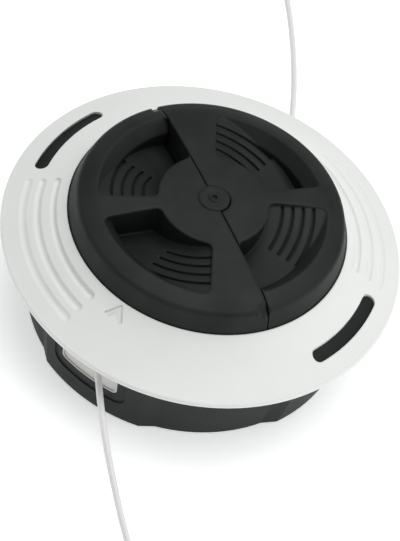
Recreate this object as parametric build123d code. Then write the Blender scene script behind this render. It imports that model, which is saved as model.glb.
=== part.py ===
from build123d import *
import os
from math import atan2, cos, degrees, radians, sin, tan

# Line trimmer head with a bump knob, in millimetres and degrees.
# It stands knob up on its mounting face: the origin is that face's centre and +Z points to the knob.
# The line leaves through two eyelets, at -Y in front and at +Y behind.

# Clearances
running_gap = 0.3  # between pieces that turn or slide past each other
seat_gap = 0.2  # between fixed pieces that plug into each other

# Drive hub
thread_radius = 4.5  # core radius of the M10 x 1 left-hand drive thread
nut_flats = 17.0
nut_height = 12.0
shaft_radius = 5.5  # room for the shaft end above the nut
shaft_depth = 28.0
post_radius = 12.5
post_overrun = 2.5  # how far the post stands above the spool

# Housing bowl
bowl_flare = 6.3  # top edge beyond the foot
housing_height = 39.6
bowl_wall = 3.2
floor_top = 5.0
foot_chamfer = 1.2
lobe_count = 4
lobe_angle = 40.0
lobe_ramp = 5.5
lobe_rise = 2.0
lug_depth = 1.0  # lugs in the disc's slots, below its face
boss_radius = 18.0  # mounting boss around the nut
sole_width = 6.0  # flat ring round the foot
sole_depth = 1.8
sole_ribs = 8
sole_rib_width = 3.0

# Line, its eyelets and their windows
line_radius = 1.25
line_bend = 0.45  # share of a run that the arc at its end may take
line_height = 27.0
window_width = 25.4
window_shift = -1.0  # away from the side the line leans to
window_bottom = 16.8
window_corner = 2.2
frame_width = 32.4  # shallow recess round a window
frame_bottom = 11.4
frame_corner = 5.0
frame_depth = 0.5
eyelet_inset = 0.5
eyelet_border = 0.7
eyelet_step = 0.5  # field of the eyelet below its border
eyelet_lip = 2.0
eyelet_lip_depth = 1.6
line_slot_width = 12.0
line_slot_shift = 1.5  # towards the side the line leans to
flare_depth = 1.6
flare_angle = 35.0

# Cover disc
rim_radius = 75.0
rim_overhang = 8.7  # rim beyond the bowl's top edge
rim_drop = 0.6  # middle of the rim below the housing's top edge
rim_round = 1.2
disc_rise = 12.0
disc_dish = 0.8
disc_thickness = 3.0
land_margin = 0.8  # flat seat beyond the lobes
collar_lift = 4.2  # collar's lower edge above the housing's top edge
collar_wall = 3.4
spigot_wall = 2.2
spigot_depth = 5.0
slot_margin = 1.85  # from a hook's leg to the slot above it
slot_width = 5.0
slot_angle = 34.0
groove_offsets = (4.9, 10.2, 15.1)  # from the disc's inner edge
groove_depths = (1.3, 0.9, 0.6)
groove_width = 3.0
groove_start = 203.0
groove_sweep = 55.0
chevron_offset = 2.1  # from the disc's inner edge to the tip
chevron_length = 5.8
chevron_half_angle = 39.0
chevron_width = 1.7
chevron_depth = 0.7
hook_half_angle = 8.0
hook_drop = 6.0
hook_nose = 1.6
hook_height = 3.5
hook_play = 1.0  # degrees at each side of a hook

# Spool and windings
spool_inset = 5.5  # flanges inside the foot's radius
flange_thickness = 2.0
core_wall = 7.4
web_height = 5.5
bump_travel = 6.0
dog_count = 12
dog_inner = 34.0
dog_outer = 44.0
dog_width = 5.0
dog_height = 2.0
dog_gap = 0.5
winding_inset = 10.5  # wound line inside the flanges
line_notch = 5.0
centring_wall = 2.5
centring_height = 2.5

# Spring and washer
spring_gap = 1.1  # between the post and the coil
wire_radius = 0.9
spring_turns = 6.0
washer_margin = 0.8  # beyond the coil
washer_gap = 0.4
washer_thickness = 2.0

# Knob
knob_inset = 2.8  # knob's wall inside the spool's flanges
knob_gap = 0.4  # between the knob and the disc
knob_rise = 12.2  # top of the dome above the disc's inner edge
knob_dome = 1.9
shoulder_inset = 2.2  # shoulder inside the knob's wall
shoulder_drop = 2.2  # shoulder below the dome's edge
shoulder_width = 6.0  # sloped band from the shoulder to the dome
shoulder_round = 2.4
crown_round = 18.0  # between the sloped band and the dome
knob_wall = 3.0
knob_plate = 4.0
knob_turn = 150.0  # where the seam stands at rest
seam_gap = 0.5
hub_radius = 5.7
hub_rise = 0.5
gate_radius = 2.0  # small ring at the middle of the hub
gate_hole = 1.0
gate_rise = 0.5
notch_width = 3.2  # nick in the rim beside the seam
notch_depth = 1.4
notch_tilt = 45.0
pocket_inner = 20.5
pocket_margin = 9.2  # from the pockets to the knob's wall
pocket_slope = 4.5  # width and height of the sloped band along the outer side
pocket_depth = 12.0
pocket_sweep = 70.0
pocket_corner = 2.5
pocket_wall = 2.5
second_pocket = 84.0
rib_groove_inset = 4.7  # first groove from the pocket's inner wall
rib_groove_pitch = 3.9
rib_groove_count = 4
rib_groove_width = 1.0
rib_groove_depth = 1.4
rib_groove_start = 33.0
snap_count = 3
snap_half_angle = 7.0
snap_thickness = 1.8
snap_nose = 1.2
snap_height = 1.4
snap_play = 0.5  # degrees at each side of a leg

# Free line ends, as routes chosen by hand: from inside the eyelet out to the cut end
front_route = [
    (-3.4, -57.4, 27.0),
    (3.8, -66.6, 27.0),
    (12.9, -77.0, 26.8),
    (24.6, -89.2, 26.4),
    (36.8, -100.6, 26.0),
    (51.2, -113.5, 25.6),
    (64.5, -123.8, 25.4),
]
rear_route = [
    (2.4, 57.4, 27.0),
    (-3.4, 67.4, 27.0),
    (-10.8, 80.0, 26.9),
    (-18.9, 93.7, 26.7),
    (-27.3, 106.4, 26.5),
    (-38.1, 120.9, 26.3),
    (-50.2, 135.5, 26.1),
    (-61.5, 147.0, 26.0),
]

# Levels and sizes that follow from the ones above
bowl_radius = rim_radius - rim_overhang
base_radius = bowl_radius - bowl_flare
flange_radius = base_radius - spool_inset
winding_radius = flange_radius - winding_inset
knob_radius = flange_radius - knob_inset
pocket_outer = knob_radius - pocket_margin
spring_radius = post_radius + spring_gap + wire_radius
washer_radius = spring_radius + wire_radius + washer_margin
spring_room = washer_radius + washer_gap
core_radius = spring_room + core_wall
line_slot_height = 2 * (line_radius + running_gap)
rim_height = housing_height - rim_drop
hole_top = rim_height + disc_rise
hole_radius = knob_radius + knob_gap
collar_bottom = housing_height + collar_lift
spool_top = collar_bottom - running_gap
upper_flange = spool_top - flange_thickness
middle_flange = line_height - flange_thickness / 2
lower_flange = floor_top + dog_height + dog_gap + bump_travel
web_bottom = spool_top - web_height
washer_bottom = web_bottom - washer_thickness
post_top = spool_top + post_overrun
knob_top = hole_top + knob_rise
knob_edge = knob_top - knob_dome
shoulder_radius = knob_radius - shoulder_inset
shoulder_top = knob_edge - shoulder_drop
crown_radius = shoulder_radius - shoulder_width
pocket_floor = knob_edge - pocket_depth
spigot_bottom = housing_height - spigot_depth
hook_bottom = spigot_bottom - hook_drop
snap_leg = knob_radius - knob_wall
snap_top = upper_flange - seat_gap
tall = 2 * knob_top  # longer than any cut needs


def polar(radius, angle):
    return (radius * cos(radians(angle)), radius * sin(radians(angle)))


def turned(*edges):
    # A closed outline of radius and height, turned about Z
    return revolve(Plane.XZ * make_face(list(edges)), Axis.Z)


def ring(*points):
    return turned(*Polyline(*points, close=True).edges())


def tube(outer, inner, bottom, top):
    return ring((inner, bottom), (outer, bottom), (outer, top), (inner, top))


def sector(inner, outer, start, span):
    # Flat piece of a ring
    return make_face([
        CenterArc((0, 0), outer, start, span),
        Line(polar(outer, start + span), polar(inner, start + span)),
        CenterArc((0, 0), inner, start, span),
        Line(polar(inner, start), polar(outer, start)),
    ])


def sector_block(inner, outer, start, span, bottom, top):
    return Pos(0, 0, bottom) * extrude(sector(inner, outer, start, span), top - bottom)


def both_sides(shape):
    return [shape, Rot(0, 0, 180) * shape]


def bowl_outer(height):
    return base_radius + (bowl_radius - base_radius) * height / housing_height


def bowl_inner(height):
    return bowl_outer(height) - bowl_wall


def lobed(radius, height):
    # Outline of the bowl: four lobes joined to the recesses by short ramps
    pitch = 360 / lobe_count
    recess_angle = pitch - lobe_angle - 2 * lobe_ramp
    edges = []
    for lobe in range(lobe_count):
        start = lobe * pitch - lobe_angle / 2
        end = start + lobe_angle
        recess = end + lobe_ramp
        edges.append(CenterArc((0, 0), radius + lobe_rise, start, lobe_angle))
        edges.append(Line(polar(radius + lobe_rise, end), polar(radius, recess)))
        edges.append(CenterArc((0, 0), radius, recess, recess_angle))
        edges.append(Line(polar(radius, recess + recess_angle), polar(radius + lobe_rise, start + pitch)))
    return Pos(0, 0, height) * make_face(edges)


def lobe_cone(rise):
    # Everything inside the bowl's outer face, raised by a distance
    return ring((0, 0), (bowl_outer(0) + rise, 0), (bowl_outer(tall) + rise, tall), (0, tall))


def front_block(face):
    # A flat outline seen from the front, cut through the bowl's wall and beyond
    return extrude(Plane.XZ.offset(flange_radius) * face, rim_radius - flange_radius)


def window(clearance, widening=0.0):
    # Window over the front eyelet, open to the disc, less a clearance all round
    width = window_width + 2 * (widening - clearance)
    low = window_bottom - widening + clearance
    face = Pos(window_shift, (low + tall) / 2) * Rectangle(width, tall - low)
    return front_block(fillet(face.vertices().group_by(Axis.Y)[0], window_corner - clearance))


def window_frame():
    # Shallow recess in the lobe round the front window
    face = Pos(window_shift, (frame_bottom + tall) / 2) * Rectangle(frame_width, tall - frame_bottom)
    face = fillet(face.vertices().group_by(Axis.Y)[0], frame_corner)
    return front_block(face) - lobe_cone(lobe_rise - frame_depth)


def dogs():
    # Indexing teeth: flat-topped with one steep flank and one ramp
    tooth = Polyline(
        (-dog_width / 2, 0),
        (dog_width / 2, 0),
        (dog_width / 2, dog_height),
        (0, dog_height),
        close=True,
    )
    block = extrude(Plane.YZ.offset(dog_inner) * make_face(tooth.edges()), dog_outer - dog_inner)
    return [Rot(0, 0, index * 360 / dog_count) * block for index in range(dog_count)]


def hook_leg():
    # Outer radius of the cover's hooks, just inside the bowl's wall
    return bowl_inner(hook_bottom) - running_gap


def at_hooks(shape, play):
    # The part of a turned shape that lies at the two hooks, below the disc's slots
    half_angle = hook_half_angle + play
    wedge = sector_block(base_radius / 2, rim_radius, -half_angle, 2 * half_angle, 0, tall)
    return both_sides(shape & wedge)


def slot_plan(clearance):
    # Outline of the disc's slot at +X, beside the hook, less a clearance all round
    radius = hook_leg() + slot_margin + slot_width / 2
    sweep = slot_angle - degrees(slot_width / radius)
    return SlotArc(CenterArc((0, 0), radius, -sweep / 2, sweep), slot_width - 2 * clearance)


def make_housing():
    body = loft(
        [
            lobed(base_radius - foot_chamfer, 0),
            lobed(bowl_outer(foot_chamfer), foot_chamfer),
            lobed(bowl_radius, housing_height),
        ],
        ruled=True,
    )
    body -= ring(
        (0, floor_top),
        (bowl_inner(floor_top), floor_top),
        (bowl_inner(tall), tall),
        (0, tall),
    )
    body += Pos(0, 0, floor_top) * extrude(Circle(post_radius), post_top - floor_top)
    body += [Pos(0, 0, floor_top) * dog for dog in dogs()]
    sole = tube(base_radius - sole_width, boss_radius, 0, sole_depth)
    for index in range(sole_ribs):
        rib = Box(base_radius, sole_rib_width, tall, align=(Align.MIN, Align.CENTER, Align.CENTER))
        sole -= Rot(0, 0, (index + 0.5) * 360 / sole_ribs) * rib
    body -= sole
    body -= extrude(RegularPolygon(nut_flats / 2, 6, major_radius=False), nut_height)
    body -= extrude(Circle(shaft_radius), shaft_depth)
    body -= both_sides(window_frame())
    body -= both_sides(window(0))
    lug = Pos(0, 0, housing_height - seat_gap) * extrude(slot_plan(seat_gap), disc_rise)
    body += both_sides(lug - above_disc(lug_depth))
    nose_room = hook_leg() + hook_nose + running_gap
    catch = tube(nose_room, hook_leg(), hook_bottom - running_gap, hook_bottom + hook_height + running_gap)
    body -= at_hooks(catch, hook_play)
    return body


def make_drive_nut():
    nut = extrude(RegularPolygon(nut_flats / 2, 6, major_radius=False), nut_height)
    return nut - extrude(Circle(thread_radius), nut_height)


def make_eyelet():
    low = window_bottom + seat_gap
    high = housing_height - seat_gap
    face_out = lobe_rise - eyelet_inset
    plate = ring(
        (bowl_inner(low) - seat_gap, low),
        (bowl_outer(low) + face_out, low),
        (bowl_outer(high) + face_out, high),
        (bowl_inner(high) - seat_gap, high),
    )
    lip_low = window_bottom - eyelet_lip
    lip = ring(
        (bowl_inner(lip_low) - seat_gap - eyelet_lip_depth, lip_low),
        (bowl_inner(lip_low) - seat_gap, lip_low),
        (bowl_inner(high) - seat_gap, high),
        (bowl_inner(high) - seat_gap - eyelet_lip_depth, high),
    )
    eyelet = (plate & window(seat_gap)) + (lip & window(0, eyelet_lip))
    field_out = face_out - eyelet_step
    eyelet -= window(seat_gap + eyelet_border) - lobe_cone(field_out)
    slot = Pos(line_slot_shift, line_height) * SlotOverall(line_slot_width, line_slot_height)
    eyelet -= front_block(slot)
    flare_start = bowl_outer(line_height) + field_out - flare_depth
    eyelet -= extrude(Plane.XZ.offset(flare_start) * slot, 2 * flare_depth, taper=-flare_angle)
    return eyelet


def disc_top(radius):
    # Height of the disc's upper face: a cone that hangs slightly below its chord
    share = (radius - hole_radius) / (rim_radius - rim_round - hole_radius)
    chord = hole_top + (rim_height + rim_round - hole_top) * share
    return chord - 4 * disc_dish * share * (1 - share)


def disc_slope(lowered):
    edge = rim_radius - rim_round
    middle = (hole_radius + edge) / 2
    return ThreePointArc(
        (hole_radius, disc_top(hole_radius) - lowered),
        (middle, disc_top(middle) - lowered),
        (edge, disc_top(edge) - lowered),
    )


def above_disc(depth):
    # Everything above the disc's upper face, less a depth: limits how deep a mark is cut
    slope = disc_slope(depth)
    edge = rim_radius - rim_round
    frame = Polyline(slope @ 1, (edge, tall), (hole_radius, tall), slope @ 0)
    return turned(slope, *frame.edges())


def groove(radius, depth):
    # Soft valley with round ends, square to the disc's face
    half_width = groove_width / 2
    ball = (half_width**2 + depth**2) / (2 * depth)
    lean = atan2(disc_top(radius + half_width) - disc_top(radius - half_width), groove_width)
    across = radius - (ball - depth) * sin(lean)
    height = disc_top(radius) + (ball - depth) * cos(lean)
    end = Pos(across, 0, height) * Sphere(ball)
    valley = revolve(Plane.XZ * Pos(across, height) * Circle(ball), Axis.Z, groove_sweep)
    return [Rot(0, 0, groove_start) * part for part in (valley, end, Rot(0, 0, groove_sweep) * end)]


def chevron():
    stroke = Pos(chevron_length / 2 - chevron_width / 2, 0) * Rectangle(chevron_length, chevron_width)
    strokes = Rot(0, 0, chevron_half_angle) * stroke + Rot(0, 0, -chevron_half_angle) * stroke
    return extrude(Rot(0, 0, -90) * Pos(hole_radius + chevron_offset, 0) * strokes, tall)


def make_hooks():
    leg = hook_leg()
    catch = hook_bottom + hook_height
    root = disc_top(leg) - disc_thickness / 2
    hook = ring(
        (leg - spigot_wall, hook_bottom),
        (leg, hook_bottom),
        (leg + hook_nose, catch - hook_nose),
        (leg + hook_nose, catch),
        (leg, catch),
        (leg, root),
        (leg - spigot_wall, root),
    )
    return at_hooks(hook, 0)


def make_cover_disc():
    edge = rim_radius - rim_round
    land = bowl_radius + lobe_rise + land_margin
    spigot_high = bowl_inner(housing_height) - running_gap
    spigot_low = bowl_inner(spigot_bottom) - running_gap
    spigot_inner = spigot_low - spigot_wall
    collar_outer = hole_radius + collar_wall
    rim = ThreePointArc(
        (edge, rim_height + rim_round),
        (rim_radius, rim_height),
        (edge, rim_height - rim_round),
    )
    under = Polyline(
        (edge, rim_height - rim_round),
        (land, housing_height),
        (spigot_high, housing_height),
        (spigot_low, spigot_bottom),
        (spigot_inner, spigot_bottom),
        (spigot_inner, disc_top(spigot_inner) - disc_thickness),
        (collar_outer, disc_top(collar_outer) - disc_thickness),
        (collar_outer, collar_bottom),
        (hole_radius, collar_bottom),
        (hole_radius, hole_top),
    )
    disc = turned(disc_slope(0), rim, *under.edges())
    eyelet_room = Box(
        window_width + 2 * (eyelet_lip + running_gap),
        bowl_radius - flange_radius,
        housing_height,
        align=(Align.CENTER, Align.MAX, Align.MIN),
    )
    disc -= both_sides(Pos(window_shift, -flange_radius, 0) * eyelet_room)
    disc += make_hooks()
    disc -= both_sides(extrude(slot_plan(0), tall))
    for offset, depth in zip(groove_offsets, groove_depths):
        for valley in groove(hole_radius + offset, depth):
            disc -= both_sides(valley)
    disc -= both_sides(chevron() & above_disc(chevron_depth))
    return disc


def make_spool():
    spool = tube(core_radius, spring_room, lower_flange, web_bottom)
    spool += tube(core_radius, post_radius + running_gap, web_bottom, spool_top)
    for level in (lower_flange, middle_flange, upper_flange):
        spool += tube(flange_radius, core_radius, level, level + flange_thickness)
    centring_radius = knob_radius - knob_wall - seat_gap
    spool += tube(centring_radius, centring_radius - centring_wall, spool_top, spool_top + centring_height)
    half_pitch = 180 / dog_count
    spool += [Pos(0, 0, lower_flange) * Rot(0, 0, half_pitch) * Rot(180, 0, 0) * dog for dog in dogs()]
    notch = Box(
        2 * flange_radius,
        line_notch,
        flange_thickness,
        align=(Align.CENTER, Align.CENTER, Align.MIN),
    )
    notch -= extrude(Circle(core_radius), flange_thickness)
    spool -= Pos(0, 0, middle_flange) * notch
    half_angle = snap_half_angle + snap_play
    for angle in snap_angles(0, 2 * snap_count):
        spool -= sector_block(
            snap_leg - snap_nose - seat_gap,
            snap_leg + snap_thickness + seat_gap,
            knob_turn + angle - half_angle,
            2 * half_angle,
            upper_flange,
            tall,
        )
    return spool


def make_winding(bottom, top):
    return tube(winding_radius, core_radius + seat_gap, bottom + seat_gap, top - seat_gap)


def make_thrust_washer():
    return tube(washer_radius, post_radius + running_gap, washer_bottom, web_bottom)


def make_bump_spring():
    # Coil with its end turns ground flat on the floor and under the washer
    height = washer_bottom - floor_top
    path = Helix(height / spring_turns, height, spring_radius)
    start = Plane(path @ 0, z_dir=path % 0)
    coil = sweep(start * Circle(wire_radius), path)
    outer = spring_radius + 2 * wire_radius
    return Pos(0, 0, floor_top) * (coil & extrude(Circle(outer), height))


def snap_angles(first, last):
    # Middle of each snap leg, from the seam: evenly spread over each half of the knob
    return [(index + 0.5) * 180 / snap_count for index in range(first, last)]


def snap_legs(first, last):
    # Legs that hold a knob half: they pass the upper flange and hook under it
    legs = []
    low = snap_top - snap_height
    outer = snap_leg + snap_thickness
    span = 2 * snap_half_angle
    for angle in snap_angles(first, last):
        start = angle - snap_half_angle
        legs.append(sector_block(snap_leg, outer, start, span, low, spool_top))
        legs.append(sector_block(snap_leg - snap_nose, outer, start, span, low, snap_top))
    return legs


def ramp(inner, outer, start, span, low):
    # Space above a floor that climbs evenly as it goes round
    pitch = 360 * pocket_depth / pocket_sweep
    height = pitch * span / 360
    edges = [Rot(0, 0, start) * Helix(pitch, height, radius) for radius in (inner, outer)]
    floor = Face.make_surface_from_curves(*edges)
    return Pos(0, 0, low) * extrude(floor, tall, dir=(0, 0, 1))


def pocket_side(margin):
    # Room inside the pockets' outer side, which leans out at its top, grown by a margin
    radius = pocket_outer - pocket_slope + margin
    bend = knob_edge - pocket_slope
    return ring((0, 0), (radius, 0), (radius, bend), (radius + tall, bend + tall), (0, bend + tall))


def pocket(start):
    plan = sector(pocket_inner, pocket_outer, start, pocket_sweep)
    plan = fillet(plan.vertices(), pocket_corner)
    inner = pocket_inner - pocket_wall
    outer = pocket_outer + pocket_wall
    cut = ramp(inner, outer, start, pocket_sweep, pocket_floor) & extrude(plan, 2 * tall)
    cut &= pocket_side(0)
    low = pocket_floor + rib_groove_start * pocket_depth / pocket_sweep - rib_groove_depth
    span = pocket_sweep - rib_groove_start
    for index in range(rib_groove_count):
        radius = pocket_inner + rib_groove_inset + index * rib_groove_pitch
        cut += ramp(radius, radius + rib_groove_width, start + rib_groove_start, span, low)
    return cut


def pocket_tub(start):
    # Wall and floor around a pocket, inside the hollow knob
    lead = degrees(pocket_wall / pocket_inner)
    low = pocket_floor - pocket_wall - lead * pocket_depth / pocket_sweep
    inner = pocket_inner - pocket_wall
    outer = pocket_outer + pocket_wall
    return ramp(inner, outer, start - lead, pocket_sweep + lead, low) & pocket_side(pocket_wall)


def make_knob():
    # Both halves as one body, with the seam along X
    middle = (crown_radius / 2, knob_top - knob_dome / 4)
    dome = ThreePointArc((crown_radius, knob_edge), middle, (0, knob_top))
    side = Polyline(
        (0, knob_top),
        (0, spool_top),
        (knob_radius, spool_top),
        (knob_radius, hole_top),
        (shoulder_radius, shoulder_top),
        (crown_radius, knob_edge),
    )
    profile = make_face([dome, *side.edges()])
    bends = ((shoulder_radius, shoulder_top, shoulder_round), (crown_radius, knob_edge, crown_round))
    for radius, height, rounding in bends:
        profile = fillet(profile.vertices().sort_by_distance((radius, height))[0], rounding)
    solid = revolve(Plane.XZ * profile, Axis.Z)
    inside = knob_radius - knob_wall
    hollow = ring(
        (0, spool_top),
        (inside, spool_top),
        (inside, hole_top),
        (shoulder_radius - knob_wall, shoulder_top - knob_plate),
        (crown_radius, knob_edge - knob_plate),
        (0, knob_top - knob_plate),
    )
    knob = solid - hollow
    starts = (0, second_pocket, 180, 180 + second_pocket)
    for start in starts:
        knob += pocket_tub(start) & solid
    for start in starts:
        knob -= pocket(start)
    return knob


def rim_notch():
    # Nick in the shoulder of the half that carries the hub, at one end of the seam
    size = 2 * shoulder_width
    block = Box(size, notch_width, size, align=(Align.MIN, Align.MIN, Align.CENTER))
    corner = Pos(shoulder_radius, 0, shoulder_top) * Rot(0, -notch_tilt, 0)
    return corner * Pos(-notch_depth, 0, 0) * block


def make_hub():
    # Round boss at the middle of the knob, with the small ring left by the mould's gate
    hub = Pos(0, 0, knob_top - knob_plate) * extrude(Circle(hub_radius), knob_plate + hub_rise)
    hub_top = knob_top + hub_rise
    hub += tube(gate_radius, gate_hole, hub_top, hub_top + gate_rise)
    return hub - Pos(0, 0, hub_top - gate_rise) * extrude(Circle(gate_hole), 2 * gate_rise)


def make_knob_halves():
    knob = make_knob()
    width = 3 * knob_radius
    side = Box(width, width, 2 * tall, align=(Align.CENTER, Align.MIN, Align.CENTER))
    side = Pos(0, seam_gap / 2, 0) * side
    half_a = (knob & side) + make_hub() + snap_legs(0, snap_count)
    half_a -= [rim_notch(), mirror(rim_notch(), about=Plane.YZ)]
    half_b = knob & Rot(0, 0, 180) * side
    half_b -= extrude(Circle(hub_radius + seam_gap), tall)
    half_b += snap_legs(snap_count, 2 * snap_count)
    return [Rot(0, 0, knob_turn) * half for half in (half_a, half_b)]


def make_line_end(route):
    # Round line along straight runs, with each arc as large as its two runs allow
    points = [Vector(*point) for point in route]
    runs = [after - before for before, after in zip(points, points[1:])]
    radii = []
    for before, after in zip(runs, runs[1:]):
        half_turn = radians(before.get_angle(after) / 2)
        radii.append(line_bend * min(before.length, after.length) / tan(half_turn))
    path = FilletPolyline(*points, radius=radii)
    start = Plane(path @ 0, z_dir=path % 0)
    print("line end", round(path.length, 1), "mm long, radii", [round(radius) for radius in radii])
    return sweep(start * Circle(line_radius), path)


os.makedirs("parts", exist_ok=True)
eyelet = make_eyelet()
knob_half_a, knob_half_b = make_knob_halves()
nodes = {
    "housing": make_housing(),
    "drive_nut": make_drive_nut(),
    "eyelet_front": eyelet,
    "eyelet_rear": Rot(0, 0, 180) * eyelet,
    "cover_disc": make_cover_disc(),
    "spool": make_spool(),
    "winding_lower": make_winding(lower_flange + flange_thickness, middle_flange),
    "winding_upper": make_winding(middle_flange + flange_thickness, upper_flange),
    "bump_spring": make_bump_spring(),
    "thrust_washer": make_thrust_washer(),
    "knob_half_a": knob_half_a,
    "knob_half_b": knob_half_b,
    "line_end_front": make_line_end(front_route),
    "line_end_rear": make_line_end(rear_route),
}
for name, shape in nodes.items():
    export_step(shape, f"parts/{name}.step")
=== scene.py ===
import math
import bpy
from mathutils import Matrix, Vector


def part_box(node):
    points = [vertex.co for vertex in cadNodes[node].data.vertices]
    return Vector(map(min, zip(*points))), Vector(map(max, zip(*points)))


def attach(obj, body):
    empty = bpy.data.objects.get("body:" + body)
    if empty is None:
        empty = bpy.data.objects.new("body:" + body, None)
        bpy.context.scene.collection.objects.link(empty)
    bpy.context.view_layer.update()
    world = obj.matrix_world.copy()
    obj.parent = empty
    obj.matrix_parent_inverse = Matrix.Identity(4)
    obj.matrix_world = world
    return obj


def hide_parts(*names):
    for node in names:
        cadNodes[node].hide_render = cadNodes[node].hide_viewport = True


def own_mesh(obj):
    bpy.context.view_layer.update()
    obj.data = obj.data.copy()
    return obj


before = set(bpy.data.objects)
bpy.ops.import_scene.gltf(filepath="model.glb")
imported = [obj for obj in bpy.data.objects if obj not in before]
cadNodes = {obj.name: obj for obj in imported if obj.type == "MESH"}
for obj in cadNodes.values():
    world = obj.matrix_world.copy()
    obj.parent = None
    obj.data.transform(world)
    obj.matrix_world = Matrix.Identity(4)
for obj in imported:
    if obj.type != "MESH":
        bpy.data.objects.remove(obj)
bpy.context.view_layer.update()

scene = bpy.context.scene
print("frame: loaded", len(cadNodes), "nodes")

# Camera at the photo's angle
photoCamera = {
    "target": (0.00781, -0.01225, 0.0390),
    "distance": 0.95116,
    "azimuth": 22.5,
    "elevation": 50.81,
    "roll": 16.78,
    "lensPixels": 2600,  # focal length in pixels of the photo
    "longSide": 541,  # pixels along the photo's long side
    "sensor": 36.0,
}


def makeCamera(shot):
    azimuth, elevation, roll = (math.radians(shot[key]) for key in ("azimuth", "elevation", "roll"))
    level = math.cos(elevation)
    back = Vector((math.sin(azimuth) * level, -math.cos(azimuth) * level, math.sin(elevation)))
    right = Vector((math.cos(azimuth), math.sin(azimuth), 0))
    up = back.cross(right)
    turn = Matrix.Rotation(roll, 3, back)  # the photo is tilted about the line of sight
    data = bpy.data.cameras.new("photoCamera")
    data.sensor_width = shot["sensor"]
    data.lens = shot["lensPixels"] * shot["sensor"] / shot["longSide"]
    camera = bpy.data.objects.new("photoCamera", data)
    axes = Matrix((turn @ right, turn @ up, back)).transposed()
    place = Vector(shot["target"]) + back * shot["distance"]
    camera.matrix_world = Matrix.Translation(place) @ axes.to_4x4()
    scene.collection.objects.link(camera)
    scene.camera = camera


makeCamera(photoCamera)
print("camera: set")

# Floor, soft lights and plain colours on screen
studio = {
    "world": (0.96, 0.98, 1.0),
    "worldStrength": 0.42,
    "floorSize": 8.0,
    "floorColour": (0.95, 0.95, 0.95, 1.0),
    "floorRoughness": 0.9,
    "floorSpecular": 0.1,
    "floorGlow": 0.5,  # the floor is a light table, which keeps its shadows pale
    "lamps": {
        # name: azimuth and elevation in degrees, distance, size, power
        "topLamp": (170.0, 80.0, 1.3, 1.4, 11.0),
        "sideLamp": (105.0, 18.0, 1.0, 0.6, 2.0),
    },
}


def makeLamp(name, azimuth, elevation, distance, size, power):
    a, e = math.radians(azimuth), math.radians(elevation)
    away = Vector((math.sin(a) * math.cos(e), -math.cos(a) * math.cos(e), math.sin(e)))
    data = bpy.data.lights.new(name, "AREA")
    data.shape = "DISK"
    data.size = size
    data.energy = power
    lamp = bpy.data.objects.new(name, data)
    lamp.location = away * distance
    lamp.rotation_mode = "QUATERNION"
    lamp.rotation_quaternion = away.to_track_quat("Z", "Y")
    scene.collection.objects.link(lamp)


def makeStudio(room):
    scene.view_settings.view_transform = "Standard"
    world = bpy.data.worlds.new("studioWorld")
    world.use_nodes = True
    background = world.node_tree.nodes["Background"]
    background.inputs["Color"].default_value = (*room["world"], 1.0)
    background.inputs["Strength"].default_value = room["worldStrength"]
    scene.world = world
    for name, lamp in room["lamps"].items():
        makeLamp(name, *lamp)
    half = room["floorSize"] / 2
    mesh = bpy.data.meshes.new("floor")
    corners = [(-half, -half, 0), (half, -half, 0), (half, half, 0), (-half, half, 0)]
    mesh.from_pydata(corners, [], [(0, 1, 2, 3)])
    floor = bpy.data.objects.new("floor", mesh)
    scene.collection.objects.link(floor)
    material = bpy.data.materials.new("paleFloor")
    material.use_nodes = True
    shader = material.node_tree.nodes["Principled BSDF"]
    shader.inputs["Base Color"].default_value = room["floorColour"]
    shader.inputs["Emission Color"].default_value = room["floorColour"]
    shader.inputs["Emission Strength"].default_value = room["floorGlow"]
    shader.inputs["Roughness"].default_value = room["floorRoughness"]
    shader.inputs["Specular IOR Level"].default_value = room["floorSpecular"]
    mesh.materials.append(material)


makeStudio(studio)
print("studio: lights and floor set")


# Shader parts
def put(tree, kind, sockets=None, **settings):
    node = tree.nodes.new(kind)
    for name, value in settings.items():
        setattr(node, name, value)
    for name, value in (sockets or {}).items():
        if isinstance(value, bpy.types.NodeSocket):
            tree.links.new(value, node.inputs[name])
        else:
            node.inputs[name].default_value = value
    return node


def newGroup(name, inputs, outputs):
    tree = bpy.data.node_groups.new(name, "ShaderNodeTree")
    for socket, (kind, value) in inputs.items():
        made = tree.interface.new_socket(socket, in_out="INPUT", socket_type=kind)
        made.default_value = value
    for socket, kind in outputs.items():
        tree.interface.new_socket(socket, in_out="OUTPUT", socket_type=kind)
    return tree, tree.nodes.new("NodeGroupInput").outputs, tree.nodes.new("NodeGroupOutput").inputs


skinLimits = {
    "highlightStart": 0.99,  # cosine between the softened and the true normal where the painted edge highlight begins
    "highlightFull": 0.8,
    "cloudLow": 0.3,
    "cloudHigh": 0.7,
    "grainDetail": 3.0,
    "cloudDetail": 4.0,
    "bevelSamples": 6,
}


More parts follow.
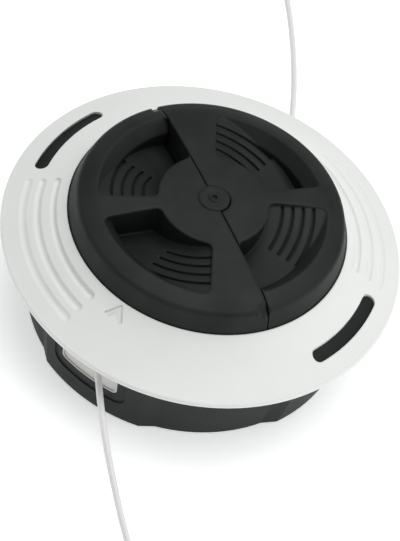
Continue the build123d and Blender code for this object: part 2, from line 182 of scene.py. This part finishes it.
def mouldedSkin(limits):
    # Moulded plastic: fine grain, a faint cloudiness and edges that are softly rounded and made a little
    # paler by a painted highlight
    tree, given, result = newGroup(
        "mouldedSkin",
        {
            "Colour": ("NodeSocketColor", (0.5, 0.5, 0.5, 1.0)),
            "Edge Highlight Colour": ("NodeSocketColor", (0.6, 0.6, 0.6, 1.0)),
            "Edge Radius": ("NodeSocketFloat", 0.0005),
            "Grain Scale": ("NodeSocketFloat", 2600.0),
            "Grain Height": ("NodeSocketFloat", 0.00002),
            "Cloud Scale": ("NodeSocketFloat", 45.0),
            "Cloud": ("NodeSocketFloat", 0.15),
            "Roughness": ("NodeSocketFloat", 0.5),
            "Roughness Spread": ("NodeSocketFloat", 0.1),
        },
        {"Colour": "NodeSocketColor", "Roughness": "NodeSocketFloat", "Normal": "NodeSocketVector"},
    )
    place = put(tree, "ShaderNodeTexCoord").outputs["Object"]
    grain = put(tree, "ShaderNodeTexNoise", {"Vector": place, "Scale": given["Grain Scale"]})
    grain.inputs["Detail"].default_value = limits["grainDetail"]
    cloud = put(tree, "ShaderNodeTexNoise", {"Vector": place, "Scale": given["Cloud Scale"]})
    cloud.inputs["Detail"].default_value = limits["cloudDetail"]
    soft = put(tree, "ShaderNodeBevel", {"Radius": given["Edge Radius"]}, samples=limits["bevelSamples"])
    face = put(tree, "ShaderNodeNewGeometry")
    lean = put(tree, "ShaderNodeVectorMath", operation="DOT_PRODUCT")
    tree.links.new(soft.outputs["Normal"], lean.inputs[0])
    tree.links.new(face.outputs["Normal"], lean.inputs[1])
    # Mask of the edges, where the painted highlight goes
    highlightMask = put(tree, "ShaderNodeMapRange", {
        "Value": lean.outputs["Value"], "From Min": limits["highlightStart"], "From Max": limits["highlightFull"],
    })
    shade = put(tree, "ShaderNodeMapRange", {
        "Value": cloud.outputs["Fac"], "From Min": limits["cloudLow"], "From Max": limits["cloudHigh"],
        "To Min": 1.0,
    })
    darkest = put(tree, "ShaderNodeMath", {0: 1.0, 1: given["Cloud"]}, operation="SUBTRACT")
    tree.links.new(darkest.outputs[0], shade.inputs["To Max"])
    clouded = put(tree, "ShaderNodeVectorMath", {0: given["Colour"]}, operation="SCALE")
    tree.links.new(shade.outputs["Result"], clouded.inputs["Scale"])
    # Painted highlight: the paler edge colour is mixed in along the edges
    edgeHighlighted = put(tree, "ShaderNodeMix", data_type="RGBA")
    tree.links.new(highlightMask.outputs["Result"], edgeHighlighted.inputs["Factor"])
    tree.links.new(clouded.outputs["Vector"], edgeHighlighted.inputs["A"])
    tree.links.new(given["Edge Highlight Colour"], edgeHighlighted.inputs["B"])
    tree.links.new(edgeHighlighted.outputs["Result"], result["Colour"])
    rough = put(tree, "ShaderNodeMath", {
        0: cloud.outputs["Fac"], 1: given["Roughness Spread"], 2: given["Roughness"],
    }, operation="MULTIPLY_ADD")
    tree.links.new(rough.outputs[0], result["Roughness"])
    bump = put(tree, "ShaderNodeBump", {
        "Height": grain.outputs["Fac"], "Distance": given["Grain Height"], "Normal": soft.outputs["Normal"],
    })
    tree.links.new(bump.outputs["Normal"], result["Normal"])
    return tree


skinGroup = mouldedSkin(skinLimits)


def plastic(name, finish):
    material = bpy.data.materials.new(name)
    material.use_nodes = True
    tree = material.node_tree
    shader = tree.nodes["Principled BSDF"]
    skin = put(tree, "ShaderNodeGroup", node_tree=skinGroup)
    for socket, value in finish["skin"].items():
        skin.inputs[socket].default_value = value
    tree.links.new(skin.outputs["Colour"], shader.inputs["Base Color"])
    tree.links.new(skin.outputs["Roughness"], shader.inputs["Roughness"])
    tree.links.new(skin.outputs["Normal"], shader.inputs["Normal"])
    for socket, value in finish["shader"].items():
        shader.inputs[socket].default_value = value
    return material


# Finishes of the moulded pieces; the edge colour of each is a painted highlight along its edges
knobFinish = {
    "skin": {
        "Colour": (0.0155, 0.0172, 0.0164, 1.0),
        "Edge Highlight Colour": (0.0185, 0.0203, 0.0195, 1.0),
        "Edge Radius": 0.0015,
        "Grain Scale": 2400.0,
        "Grain Height": 0.000015,
        "Cloud Scale": 70.0,
        "Cloud": 0.42,
        "Roughness": 0.46,
        "Roughness Spread": 0.12,
    },
    "shader": {"Specular IOR Level": 0.2},
}
housingFinish = {
    "skin": {
        "Colour": (0.0125, 0.0138, 0.0134, 1.0),
        "Edge Highlight Colour": (0.02, 0.021, 0.022, 1.0),
        "Edge Radius": 0.0006,
        "Grain Scale": 2000.0,
        "Grain Height": 0.00003,
        "Cloud": 0.25,
        "Roughness": 0.5,
        "Roughness Spread": 0.15,
    },
    "shader": {"Specular IOR Level": 0.2},
}
coverFinish = {
    "skin": {
        "Colour": (0.80, 0.81, 0.785, 1.0),
        "Edge Highlight Colour": (0.83, 0.84, 0.815, 1.0),
        "Edge Radius": 0.0009,
        "Grain Scale": 1800.0,
        "Grain Height": 0.000006,
        "Cloud": 0.03,
        "Roughness": 0.38,
        "Roughness Spread": 0.1,
    },
    "shader": {"Specular IOR Level": 0.4},
}
eyeletFinish = {
    "skin": {
        "Colour": (0.53, 0.525, 0.50, 1.0),
        "Edge Highlight Colour": (0.62, 0.615, 0.585, 1.0),
        "Edge Radius": 0.0004,
        "Grain Scale": 2200.0,
        "Grain Height": 0.000008,
        "Cloud": 0.06,
        "Roughness": 0.35,
        "Roughness Spread": 0.1,
    },
    "shader": {"Specular IOR Level": 0.5},
}
spoolFinish = {
    "skin": {
        "Colour": (0.03, 0.03, 0.032, 1.0),
        "Edge Highlight Colour": (0.05, 0.05, 0.052, 1.0),
        "Edge Radius": 0.0004,
        "Grain Scale": 2000.0,
        "Grain Height": 0.00001,
        "Cloud": 0.2,
        "Roughness": 0.35,
        "Roughness Spread": 0.15,
    },
    "shader": {"Specular IOR Level": 0.5},
}


def paint(node, material):
    mesh = cadNodes[node].data
    mesh.materials.clear()
    mesh.materials.append(material)


knobPlastic = plastic("knobPlastic", knobFinish)
housingPlastic = plastic("housingPlastic", housingFinish)
coverPlastic = plastic("coverPlastic", coverFinish)
eyeletPlastic = plastic("eyeletPlastic", eyeletFinish)
spoolPlastic = plastic("spoolPlastic", spoolFinish)
paint("knob_half_a", knobPlastic)
paint("knob_half_b", knobPlastic)
paint("housing", housingPlastic)
paint("cover_disc", coverPlastic)
paint("eyelet_front", eyeletPlastic)
paint("eyelet_rear", eyeletPlastic)
paint("spool", spoolPlastic)
print("plastics: painted")

# Steel of the nut, spring and washer
steelFinish = {
    "Base Color": (0.52, 0.52, 0.52, 1.0),
    "Metallic": 1.0,
    "scratchScale": (900.0, 900.0, 60.0),
    "scratchDetail": 3.0,
    "roughLow": 0.25,
    "roughHigh": 0.45,
}


def brushedSteel(finish):
    material = bpy.data.materials.new("brushedSteel")
    material.use_nodes = True
    tree = material.node_tree
    shader = tree.nodes["Principled BSDF"]
    shader.inputs["Base Color"].default_value = finish["Base Color"]
    shader.inputs["Metallic"].default_value = finish["Metallic"]
    place = put(tree, "ShaderNodeTexCoord").outputs["Object"]
    stretch = put(tree, "ShaderNodeMapping", {"Vector": place, "Scale": finish["scratchScale"]})
    streak = put(tree, "ShaderNodeTexNoise", {
        "Vector": stretch.outputs["Vector"], "Scale": 1.0, "Detail": finish["scratchDetail"],
    })
    rough = put(tree, "ShaderNodeMapRange", {
        "Value": streak.outputs["Fac"], "To Min": finish["roughLow"], "To Max": finish["roughHigh"],
    })
    tree.links.new(rough.outputs["Result"], shader.inputs["Roughness"])
    return material


steel = brushedSteel(steelFinish)
paint("thrust_washer", steel)
print("steel: painted")

# Bump spring with closed ground ends
bumpSpring = {
    "node": "bump_spring",
    "joint": "bump",
    "travel": 0.006,
    "coilRadius": 0.0145,
    "wireRadius": 0.0009,
    "turns": 6,
    "endRise": 0.0019,  # climb of the closed turn at each end
    "seatGap": 0.00002,  # between a ground end and what it stands on
    "pointsPerTurn": 48,
    "wireSides": 14,
    "sharpAngle": 35.0,
}


def springClimb(spring, turn, length):
    # Height gained after so many turns: closed end turns, even pitch between them
    evenPitch = (length - 2 * spring["endRise"]) / (spring["turns"] - 2)
    if turn < 1:
        return turn * spring["endRise"]
    if turn > spring["turns"] - 1:
        return length - (spring["turns"] - turn) * spring["endRise"]
    return spring["endRise"] + (turn - 1) * evenPitch


def makeBumpSpring(spring):
    low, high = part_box(spring["node"])
    floorLevel, washerLevel = low[2], high[2]
    length = washerLevel - floorLevel
    steps = spring["turns"] * spring["pointsPerTurn"]
    sides = spring["wireSides"]
    verts = []
    for step in range(steps + 1):
        turn = step / spring["pointsPerTurn"]
        angle = 2 * math.pi * turn
        centre = floorLevel + springClimb(spring, turn, length)
        for side in range(sides):
            lean = 2 * math.pi * side / sides
            radius = spring["coilRadius"] + spring["wireRadius"] * math.cos(lean)
            height = centre + spring["wireRadius"] * math.sin(lean)
            height = max(height, floorLevel + spring["seatGap"])  # the ends are ground flat
            height = min(height, washerLevel - spring["seatGap"])
            verts.append((radius * math.cos(angle), radius * math.sin(angle), height))
    faces = [tuple(range(sides)), tuple(reversed(range(steps * sides, (steps + 1) * sides)))]
    for step in range(steps):
        here, there = step * sides, (step + 1) * sides
        for side in range(sides):
            after = (side + 1) % sides
            faces.append((here + side, there + side, there + after, here + after))
    mesh = bpy.data.meshes.new("bumpSpring")
    mesh.from_pydata(verts, [], faces)
    mesh.polygons.foreach_set("use_smooth", [True] * len(mesh.polygons))
    mesh.set_sharp_from_angle(angle=math.radians(spring["sharpAngle"]))
    mesh.materials.append(steel)
    piece = bpy.data.objects.new("bumpSpring", mesh)
    scene.collection.objects.link(piece)
    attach(piece, "head")
    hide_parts(spring["node"])
    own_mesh(piece)


makeBumpSpring(bumpSpring)

# Hexagon drive nut with its left-hand inner thread
driveNut = {
    "node": "drive_nut",
    "flats": 0.017,
    "height": 0.012,
    "cornerCircle": 0.0084,  # radius at which the corners are turned down
    "cornerSlope": 0.58,
    "crest": 0.0045,
    "root": 0.0050,
    "pitch": 0.001,
    "leadIn": 0.0006,
    "sides": 96,
    "rowsPerTurn": 10,
    "crestShare": 0.4,  # how wide the crest's flat is
    "sharpAngle": 28.0,
}


def threadRadius(nut, angle, height):
    # Left-hand thread: the ridge falls as it goes round, and both mouths are opened by a lead-in
    phase = (height / nut["pitch"] + angle / (2 * math.pi)) % 1.0
    flank = min(1.0, max(0.0, 2.0 * abs(2.0 * phase - 1.0) - nut["crestShare"]))
    radius = nut["crest"] + (nut["root"] - nut["crest"]) * flank
    mouth = min(height, nut["height"] - height)
    return max(radius, nut["root"] - mouth * (nut["root"] - nut["crest"]) / nut["leadIn"])


def makeDriveNut(nut):
    rows = round(nut["height"] / nut["pitch"]) * nut["rowsPerTurn"]
    verts = []
    for side in range(nut["sides"]):
        angle = 2 * math.pi * side / nut["sides"]
        fromFlat = angle % (math.pi / 3) - math.pi / 6
        corner = nut["flats"] / 2 / math.cos(fromFlat)
        drop = (corner - nut["cornerCircle"]) * nut["cornerSlope"]
        profile = [
            (nut["cornerCircle"], 0.0), (corner, drop),
            (corner, nut["height"] - drop), (nut["cornerCircle"], nut["height"]),
        ]
        for row in range(rows + 1):
            height = nut["height"] * (1 - row / rows)
            profile.append((threadRadius(nut, angle, height), height))
        verts += [(r * math.cos(angle), r * math.sin(angle), z) for r, z in profile]
    count = len(profile)
    faces = []
    for side in range(nut["sides"]):
        here, there = side * count, (side + 1) % nut["sides"] * count
        for step in range(count):
            after = (step + 1) % count
            faces.append((here + step, there + step, there + after, here + after))
    mesh = bpy.data.meshes.new("driveNut")
    mesh.from_pydata(verts, [], faces)
    mesh.polygons.foreach_set("use_smooth", [True] * len(mesh.polygons))
    mesh.set_sharp_from_angle(angle=math.radians(nut["sharpAngle"]))
    mesh.materials.append(steel)
    piece = bpy.data.objects.new("driveNut", mesh)
    scene.collection.objects.link(piece)
    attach(piece, "head")
    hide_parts(nut["node"])


makeDriveNut(driveNut)
print("drive nut: threaded")

# Free line ends, along the same points as the solids
lineEnds = {
    "diameter": 0.0025,
    "roundSteps": 5,
    "lengthSteps": 10,
    "front": {
        "node": "line_end_front",
        "length": 0.0953,
        "route": [
            (-0.0034, -0.0574, 0.0270), (0.0038, -0.0666, 0.0270), (0.0129, -0.0770, 0.0268),
            (0.0246, -0.0892, 0.0264), (0.0368, -0.1006, 0.0260), (0.0512, -0.1135, 0.0256),
            (0.0645, -0.1238, 0.0254),
        ],
    },
    "rear": {
        "node": "line_end_rear",
        "length": 0.1105,
        "route": [
            (0.0024, 0.0574, 0.0270), (-0.0034, 0.0674, 0.0270), (-0.0108, 0.0800, 0.0269),
            (-0.0189, 0.0937, 0.0267), (-0.0273, 0.1064, 0.0265), (-0.0381, 0.1209, 0.0263),
            (-0.0502, 0.1355, 0.0261), (-0.0615, 0.1470, 0.0260),
        ],
    },
}
nylonFinish = {
    "Base Color": (0.76, 0.772, 0.775, 1.0),
    "Subsurface Weight": 0.25,
    "Subsurface Scale": 0.002,
    "streakScale": 700.0,
    "streakDetail": 2.0,
    "roughLow": 0.25,
    "roughHigh": 0.4,
}


def drawnNylon(finish):
    material = bpy.data.materials.new("drawnNylon")
    material.use_nodes = True
    tree = material.node_tree
    shader = tree.nodes["Principled BSDF"]
    for socket in ("Base Color", "Subsurface Weight", "Subsurface Scale"):
        shader.inputs[socket].default_value = finish[socket]
    place = put(tree, "ShaderNodeTexCoord").outputs["Object"]
    streak = put(tree, "ShaderNodeTexNoise", {
        "Vector": place, "Scale": finish["streakScale"], "Detail": finish["streakDetail"],
    })
    rough = put(tree, "ShaderNodeMapRange", {
        "Value": streak.outputs["Fac"], "To Min": finish["roughLow"], "To Max": finish["roughHigh"],
    })
    tree.links.new(rough.outputs["Result"], shader.inputs["Roughness"])
    return material


nylon = drawnNylon(nylonFinish)


def makeLineEnd(name, end):
    curve = bpy.data.curves.new(name, "CURVE")
    curve.dimensions = "3D"
    curve.bevel_depth = lineEnds["diameter"] / 2
    curve.bevel_resolution = lineEnds["roundSteps"]
    curve.resolution_u = lineEnds["lengthSteps"]
    curve.use_fill_caps = True
    spline = curve.splines.new("NURBS")
    spline.points.add(len(end["route"]) - 1)
    for point, place in zip(spline.points, end["route"]):
        point.co = (*place, 1.0)
    spline.order_u = 3
    spline.use_endpoint_u = True
    curve.materials.append(nylon)
    line = bpy.data.objects.new(name, curve)
    scene.collection.objects.link(line)
    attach(line, "head")
    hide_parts(end["node"])


makeLineEnd("lineEndFront", lineEnds["front"])
makeLineEnd("lineEndRear", lineEnds["rear"])
print("lines: two free ends made")

# Line wound on the spool: layers of turns, each wound back over the one below
windings = {
    "lineDiameter": 0.0025,
    "coreRadius": 0.0242,
    "nest": 0.866,  # layer spacing in line diameters, each turn in the dip between two others
    "pointsPerTurn": 56,
    "roundSides": 9,
    "pieces": {"windingLower": "winding_lower", "windingUpper": "winding_upper"},
}


def windingTree():
    tree = bpy.data.node_groups.new("windingTree", "GeometryNodeTree")
    sizes = {
        "Line Diameter": "NodeSocketFloat", "Core Radius": "NodeSocketFloat",
        "Layer Spacing": "NodeSocketFloat",
        "Layers": "NodeSocketInt", "Turns": "NodeSocketFloat", "Bottom": "NodeSocketFloat",
        "Climb": "NodeSocketFloat", "Points": "NodeSocketInt", "Sides": "NodeSocketInt",
        "Material": "NodeSocketMaterial",
    }
    keys = {}
    for name, kind in sizes.items():
        keys[name] = tree.interface.new_socket(name, in_out="INPUT", socket_type=kind).identifier
    tree.interface.new_socket("Geometry", in_out="OUTPUT", socket_type="NodeSocketGeometry")
    given = tree.nodes.new("NodeGroupInput").outputs
    result = tree.nodes.new("NodeGroupOutput").inputs

    def mathStep(operation, *values):
        sockets = {index: value for index, value in enumerate(values)}
        return put(tree, "ShaderNodeMath", sockets, operation=operation).outputs[0]

    # One layer: a helix of radius 1 about the middle of its chamber
    helix = put(tree, "GeometryNodeCurveSpiral", {
        "Resolution": given["Points"], "Rotations": given["Turns"], "Start Radius": 1.0, "End Radius": 1.0,
        "Height": given["Climb"],
    })
    halfClimb = mathStep("MULTIPLY", given["Climb"], -0.5)
    centre = put(tree, "ShaderNodeCombineXYZ", {"Z": halfClimb})
    layer = put(tree, "GeometryNodeTransform", {
        "Geometry": helix.outputs["Curve"], "Translation": centre.outputs["Vector"],
    })
    # Every second layer climbs the other way
    points = put(tree, "GeometryNodePoints", {"Count": given["Layers"]})
    index = put(tree, "GeometryNodeInputIndex").outputs["Index"]
    halfLine = mathStep("MULTIPLY", given["Line Diameter"], 0.5)
    inner = mathStep("ADD", given["Core Radius"], halfLine)
    radius = mathStep("MULTIPLY_ADD", index, given["Layer Spacing"], inner)
    odd = mathStep("MODULO", index, 2.0)
    way = mathStep("MULTIPLY_ADD", odd, -2.0, 1.0)
    scale = put(tree, "ShaderNodeCombineXYZ", {"X": radius, "Y": radius, "Z": way})
    copies = put(tree, "GeometryNodeInstanceOnPoints", {
        "Points": points.outputs["Points"], "Instance": layer.outputs["Geometry"],
        "Scale": scale.outputs["Vector"],
    })
    routes = put(tree, "GeometryNodeRealizeInstances", {"Geometry": copies.outputs["Instances"]})
    section = put(tree, "GeometryNodeCurvePrimitiveCircle", {
        "Resolution": given["Sides"], "Radius": halfLine,
    })
    turns = put(tree, "GeometryNodeCurveToMesh", {
        "Curve": routes.outputs["Geometry"], "Profile Curve": section.outputs["Curve"], "Fill Caps": True,
    })
    smooth = put(tree, "GeometryNodeSetShadeSmooth", {"Geometry": turns.outputs["Mesh"]})
    lift = mathStep("ADD", given["Bottom"], mathStep("MULTIPLY_ADD", given["Climb"], 0.5, halfLine))
    place = put(tree, "ShaderNodeCombineXYZ", {"Z": lift})
    seated = put(tree, "GeometryNodeTransform", {
        "Geometry": smooth.outputs["Geometry"], "Translation": place.outputs["Vector"],
    })
    real = put(tree, "GeometryNodeRealizeInstances", {"Geometry": seated.outputs["Geometry"]})
    coated = put(tree, "GeometryNodeSetMaterial", {
        "Geometry": real.outputs["Geometry"], "Material": given["Material"],
    })
    tree.links.new(coated.outputs["Geometry"], result["Geometry"])
    return tree, keys


def makeWinding(name, node, tree, keys):
    low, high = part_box(node)
    line = windings["lineDiameter"]
    depth = high[0] - windings["coreRadius"] - line
    layers = round(depth / (windings["nest"] * line)) + 1
    climb = high[2] - low[2] - line
    values = {
        "Line Diameter": line, "Core Radius": windings["coreRadius"], "Layer Spacing": depth / (layers - 1),
        "Layers": layers, "Turns": climb / line, "Bottom": low[2], "Climb": climb,
        "Points": windings["pointsPerTurn"], "Sides": windings["roundSides"], "Material": nylon,
    }
    maker = bpy.data.objects.new(name + "Maker", bpy.data.meshes.new(name + "Maker"))
    scene.collection.objects.link(maker)
    modifier = maker.modifiers.new("windingTree", "NODES")
    modifier.node_group = tree
    for socket, value in values.items():
        modifier[keys[socket]] = value
    made = maker.evaluated_get(bpy.context.evaluated_depsgraph_get())
    mesh = bpy.data.meshes.new_from_object(made)
    mesh.name = name
    maker.modifiers.remove(modifier)
    bpy.data.objects.remove(maker)
    piece = bpy.data.objects.new(name, mesh)
    scene.collection.objects.link(piece)
    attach(piece, "spool_and_knob")
    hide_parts(node)
    print("winding:", name, layers, "layers,", len(mesh.polygons), "faces")


turnsTree, turnsKeys = windingTree()
for pieceName, windingNode in windings["pieces"].items():
    makeWinding(pieceName, windingNode, turnsTree, turnsKeys)
